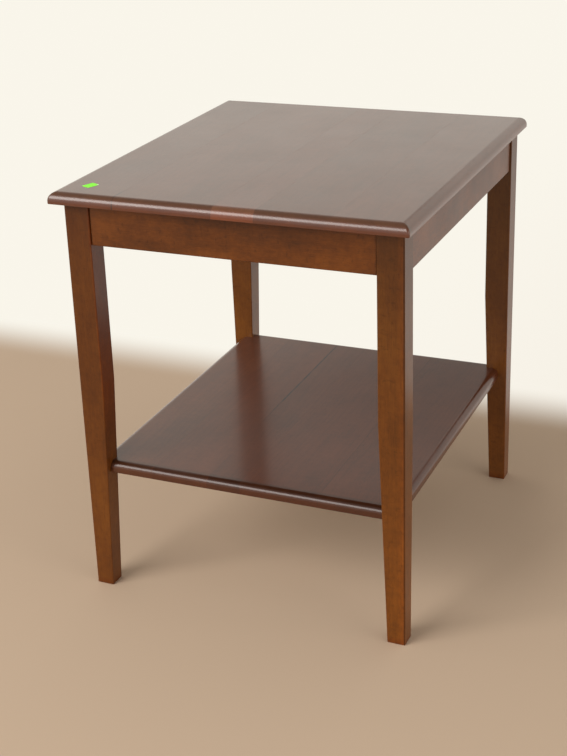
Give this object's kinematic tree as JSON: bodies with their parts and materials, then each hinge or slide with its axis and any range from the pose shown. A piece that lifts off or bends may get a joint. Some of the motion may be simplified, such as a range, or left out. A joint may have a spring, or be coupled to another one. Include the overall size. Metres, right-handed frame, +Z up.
{
  "type": "end table with shelf",
  "caption": "Rectangular wooden end table on tapered square legs, with a rounded overhanging top, aprons and a lower shelf notched round the legs.",
  "frame": {"origin": "on the floor, under the middle of the top's outline", "axes": "+X towards the table's right, +Y towards its back, +Z up; the front is the side with the deeper overhang"},
  "size_m": [0.508, 0.574, 0.6102],
  "materials": {
    "leg_wood": "satin reddish-brown stain on hardwood",
    "apron_wood": "satin reddish-brown stain on hardwood with a blotchy figure",
    "top_wood": "smooth satin lacquer over brown stain",
    "shelf_wood": "smooth satin lacquer over brown stain",
    "dowel_wood": "plain beech",
    "block_wood": "plain sawn hardwood",
    "screw_steel": "zinc plated",
    "clip_steel": "zinc plated sheet",
    "sticker": "matt bright green paper"
  },
  "bodies": {
    "root": {"leg_front_left": "leg_wood", "leg_front_right": "leg_wood", "leg_back_left": "leg_wood", "leg_back_right": "leg_wood", "apron_front": "apron_wood", "apron_back": "apron_wood", "apron_left": "apron_wood", "apron_right": "apron_wood", "apron_dowels_front": "dowel_wood", "apron_dowels_back": "dowel_wood", "apron_dowels_left": "dowel_wood", "apron_dowels_right": "dowel_wood", "top_board_1": "top_wood", "top_board_2": "top_wood", "top_board_3": "top_wood", "top_board_4": "top_wood", "top_board_5": "top_wood", "shelf_board_1": "shelf_wood", "shelf_board_2": "shelf_wood", "shelf_board_3": "shelf_wood", "shelf_board_4": "shelf_wood", "shelf_board_5": "shelf_wood", "shelf_dowels": "dowel_wood", "corner_block_front_left": "block_wood", "corner_block_front_right": "block_wood", "corner_block_back_left": "block_wood", "corner_block_back_right": "block_wood", "corner_block_screws": "screw_steel", "top_screws": "screw_steel", "top_clips": "clip_steel", "clip_screws": "screw_steel", "lot_sticker": "sticker"}
  },
  "joints": []
}
